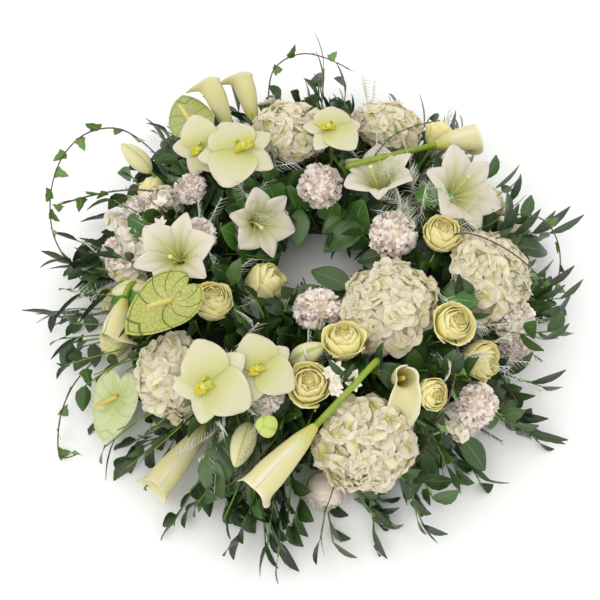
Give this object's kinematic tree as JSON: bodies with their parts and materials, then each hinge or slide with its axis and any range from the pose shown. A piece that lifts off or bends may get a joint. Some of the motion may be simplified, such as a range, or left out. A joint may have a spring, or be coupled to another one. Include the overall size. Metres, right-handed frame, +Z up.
{
  "type": "funeral wreath",
  "caption": "Round wreath of white, cream and green cut flowers and foliage on a foam ring in a shallow tray, lying flat around an open centre.",
  "frame": {"origin": "on the ring's axis, at the level of the tray's underside, where the wreath rests", "axes": "+Z straight up out of the tray, +X to the right and +Y to the back as the wreath lies in front of the viewer"},
  "size_m": [0.8025, 0.8097, 0.2088],
  "materials": {
    "tray_plastic": "satin moulded",
    "wet_foam": "matt, open-pored",
    "hydrangea_petal": "matt",
    "rose_petal": "velvety",
    "carnation_petal": "matt",
    "lily_bud_skin": "waxy",
    "lily_petal": "waxy",
    "orchid_petal": "waxy",
    "anthurium_spathe": "glossy",
    "calla_spathe": "waxy",
    "broad_leaf": "leathery, slightly glossy",
    "narrow_leaf": "slightly glossy",
    "vine_bark": "matt bark"
  },
  "bodies": {
    "root": {"hydrangea_1": "hydrangea_petal", "hydrangea_2": "hydrangea_petal", "hydrangea_3": "hydrangea_petal", "hydrangea_4": "hydrangea_petal", "hydrangea_5": "hydrangea_petal", "hydrangea_6": "hydrangea_petal", "rose_1": "rose_petal", "rose_2": "rose_petal", "rose_3": "rose_petal", "rose_4": "rose_petal", "rose_5": "rose_petal", "rose_6": "rose_petal", "rose_7": "rose_petal", "rose_8": "rose_petal", "rose_9": "rose_petal", "rose_10": "rose_petal", "rose_11": "rose_petal", "rose_12": "rose_petal", "carnation_1": "carnation_petal", "carnation_2": "carnation_petal", "carnation_3": "carnation_petal", "carnation_4": "carnation_petal", "carnation_5": "carnation_petal", "carnation_6": "carnation_petal", "lily_1": "lily_petal", "lily_2": "lily_petal", "lily_3": "lily_petal", "lily_4": "lily_petal", "lily_bud_1": "lily_bud_skin", "lily_bud_2": "lily_bud_skin", "lily_bud_3": "lily_bud_skin", "orchid_1": "orchid_petal", "orchid_2": "orchid_petal", "orchid_spray_1": "orchid_petal", "anthurium_1": "anthurium_spathe", "anthurium_2": "anthurium_spathe", "anthurium_3": "anthurium_spathe", "calla_1": "calla_spathe", "calla_2": "calla_spathe", "calla_3": "calla_spathe", "calla_4": "calla_spathe", "bent_calla_1": "calla_spathe", "bent_calla_2": "calla_spathe", "bent_calla_3": "calla_spathe", "ruscus_sprig_1": "narrow_leaf", "ruscus_sprig_2": "narrow_leaf", "ruscus_sprig_3": "narrow_leaf", "ruscus_sprig_4": "narrow_leaf", "vine_arch_1": "vine_bark", "leaf_spray_1": "broad_leaf", "leaf_spray_2": "broad_leaf", "leaf_spray_3": "broad_leaf", "leaf_spray_4": "broad_leaf", "leaf_spray_5": "broad_leaf", "leaf_spray_6": "broad_leaf", "leaf_spray_7": "broad_leaf", "leaf_spray_8": "broad_leaf", "leaf_spray_9": "broad_leaf", "foam_ring": "wet_foam", "ring_tray": "tray_plastic"}
  },
  "joints": []
}
